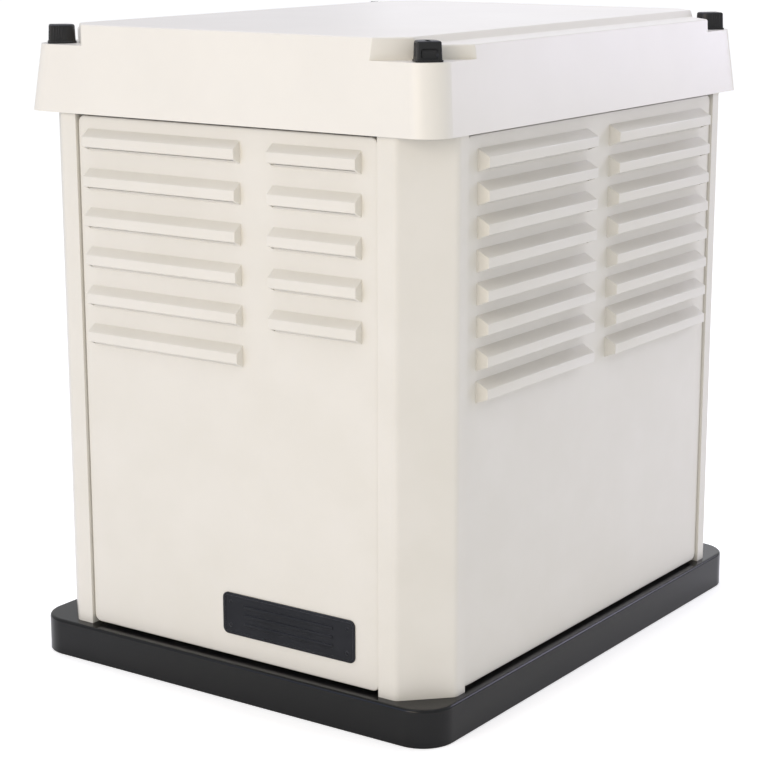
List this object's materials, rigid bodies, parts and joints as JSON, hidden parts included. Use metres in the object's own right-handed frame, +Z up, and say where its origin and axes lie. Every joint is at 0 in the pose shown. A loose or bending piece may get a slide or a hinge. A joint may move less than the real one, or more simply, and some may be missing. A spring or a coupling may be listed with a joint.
{
  "type": "home standby generator",
  "caption": "Home standby generator: louvered composite enclosure with a latched lift-off lid on a flat pad, holding a gas engine, alternator, battery and controls.",
  "frame": {"origin": "centre of the base pad underside", "axes": "+Z up, -Y the front with the badge, +X the right-hand side seen from the front"},
  "size_m": [0.663, 0.82, 0.8578],
  "materials": {
    "panel_cream": "moulded composite, satin",
    "lid_cream": "moulded composite, satin",
    "pad_black": "smooth black composite",
    "black_plastic": "fine grained black plastic",
    "badge_dark": "smooth dark plate",
    "seal_rubber": "matt black rubber",
    "foam_grey": "open-cell acoustic foam",
    "zinc_steel": "galvanised sheet",
    "cast_alloy": "sand-blasted casting",
    "black_paint": "black enamel",
    "machined_steel": "machined steel",
    "muffler_steel": "aluminised, heat-tinted",
    "copper_winding": "varnished copper wire",
    "core_steel": "laminated core steel",
    "battery_case": "black polypropylene",
    "filter_paper": "pleated paper element",
    "oil_filter_paint": "white enamel can",
    "red_plastic": "red toggle plastic",
    "yellow_plastic": "yellow cap plastic",
    "lamp_green": "translucent green lens",
    "ceramic_white": "glazed insulator",
    "brass_fitting": "turned brass"
  },
  "bodies": {
    "enclosure": {"base_pad": "pad_black", "post_front_right": "panel_cream", "post_front_left": "panel_cream", "post_rear_right": "panel_cream", "post_rear_left": "panel_cream", "rear_panel": "panel_cream", "right_panel": "panel_cream", "left_panel": "panel_cream", "lid_seal": "seal_rubber", "top_frame": "zinc_steel", "floor_tray": "zinc_steel", "mount_rails": "black_paint", "isolators": "seal_rubber", "bulkhead": "zinc_steel", "crankcase": "cast_alloy", "alternator_adapter": "cast_alloy", "cylinder": "cast_alloy", "cylinder_head": "cast_alloy", "rocker_cover": "black_paint", "piston": "machined_steel", "blower_housing": "black_paint", "starter_motor": "black_paint", "spark_plug": "ceramic_white", "ignition_coil": "seal_rubber", "mixer": "cast_alloy", "air_filter_box": "black_plastic", "air_filter_element": "filter_paper", "oil_filter": "oil_filter_paint", "exhaust_pipe": "machined_steel", "muffler": "muffler_steel", "stator": "core_steel", "stator_windings": "copper_winding", "end_bell": "cast_alloy", "rotor_bearing": "machined_steel", "battery": "battery_case", "battery_strap": "zinc_steel", "battery_leads": "seal_rubber", "control_box": "black_paint", "control_face": "zinc_steel", "breaker": "black_plastic", "status_lamp": "lamp_green", "fuel_regulator": "cast_alloy", "fuel_inlet": "brass_fitting", "fuel_hose": "seal_rubber"},
    "lid": {"lid": "lid_cream", "lid_foam": "foam_grey", "latch_bushes": "seal_rubber"},
    "latch_front_right": {"latch_front_right": "black_plastic"},
    "latch_front_left": {"latch_front_left": "black_plastic"},
    "latch_rear_right": {"latch_rear_right": "black_plastic"},
    "latch_rear_left": {"latch_rear_left": "black_plastic"},
    "front_panel": {"front_panel": "panel_cream", "badge_plate": "badge_dark"},
    "crank_train": {"crankshaft": "machined_steel", "flywheel": "machined_steel", "rotor": "core_steel"},
    "dipstick": {"dipstick": "yellow_plastic"},
    "air_filter_lid": {"air_filter_lid": "black_plastic"},
    "mode_rocker": {"mode_rocker": "black_plastic"},
    "breaker_toggle": {"breaker_toggle": "red_plastic"}
  },
  "joints": [
    {"name": "lid_lift", "type": "slide", "parent": "enclosure", "child": "lid", "axis": [0, 0, 1], "range_m": [0, 0.2]},
    {"name": "latch_front_right_turn", "type": "hinge", "parent": "lid", "child": "latch_front_right", "pos_m": [0.28464, -0.36164, 0.831], "axis": [0, 0, 1], "range_deg": [0, 90]},
    {"name": "latch_front_left_turn", "type": "hinge", "parent": "lid", "child": "latch_front_left", "pos_m": [-0.28464, -0.36164, 0.831], "axis": [0, 0, 1], "range_deg": [-90, 0]},
    {"name": "latch_rear_right_turn", "type": "hinge", "parent": "lid", "child": "latch_rear_right", "pos_m": [0.28464, 0.36164, 0.831], "axis": [0, 0, 1], "range_deg": [-90, 0]},
    {"name": "latch_rear_left_turn", "type": "hinge", "parent": "lid", "child": "latch_rear_left", "pos_m": [-0.28464, 0.36164, 0.831], "axis": [0, 0, 1], "range_deg": [0, 90]},
    {"name": "front_panel_pull", "type": "slide", "parent": "enclosure", "child": "front_panel", "axis": [0, -1, 0], "range_m": [0, 0.15]},
    {"name": "crank_spin", "type": "hinge", "parent": "enclosure", "child": "crank_train", "pos_m": [-0.07, 0, 0.237], "axis": [0, 1, 0], "continuous": true},
    {"name": "dipstick_pull", "type": "slide", "parent": "enclosure", "child": "dipstick", "axis": [0, 0, 1], "range_m": [0, 0.12]},
    {"name": "filter_lid_lift", "type": "slide", "parent": "enclosure", "child": "air_filter_lid", "axis": [0, 0, 1], "range_m": [0, 0.08]},
    {"name": "mode_rocker_tip", "type": "hinge", "parent": "enclosure", "child": "mode_rocker", "pos_m": [0.065, -0.35, 0.59], "axis": [1, 0, 0], "range_deg": [-12, 12]},
    {"name": "breaker_throw", "type": "hinge", "parent": "enclosure", "child": "breaker_toggle", "pos_m": [0.165, -0.344, 0.55], "axis": [1, 0, 0], "range_deg": [-25, 25]}
  ]
}
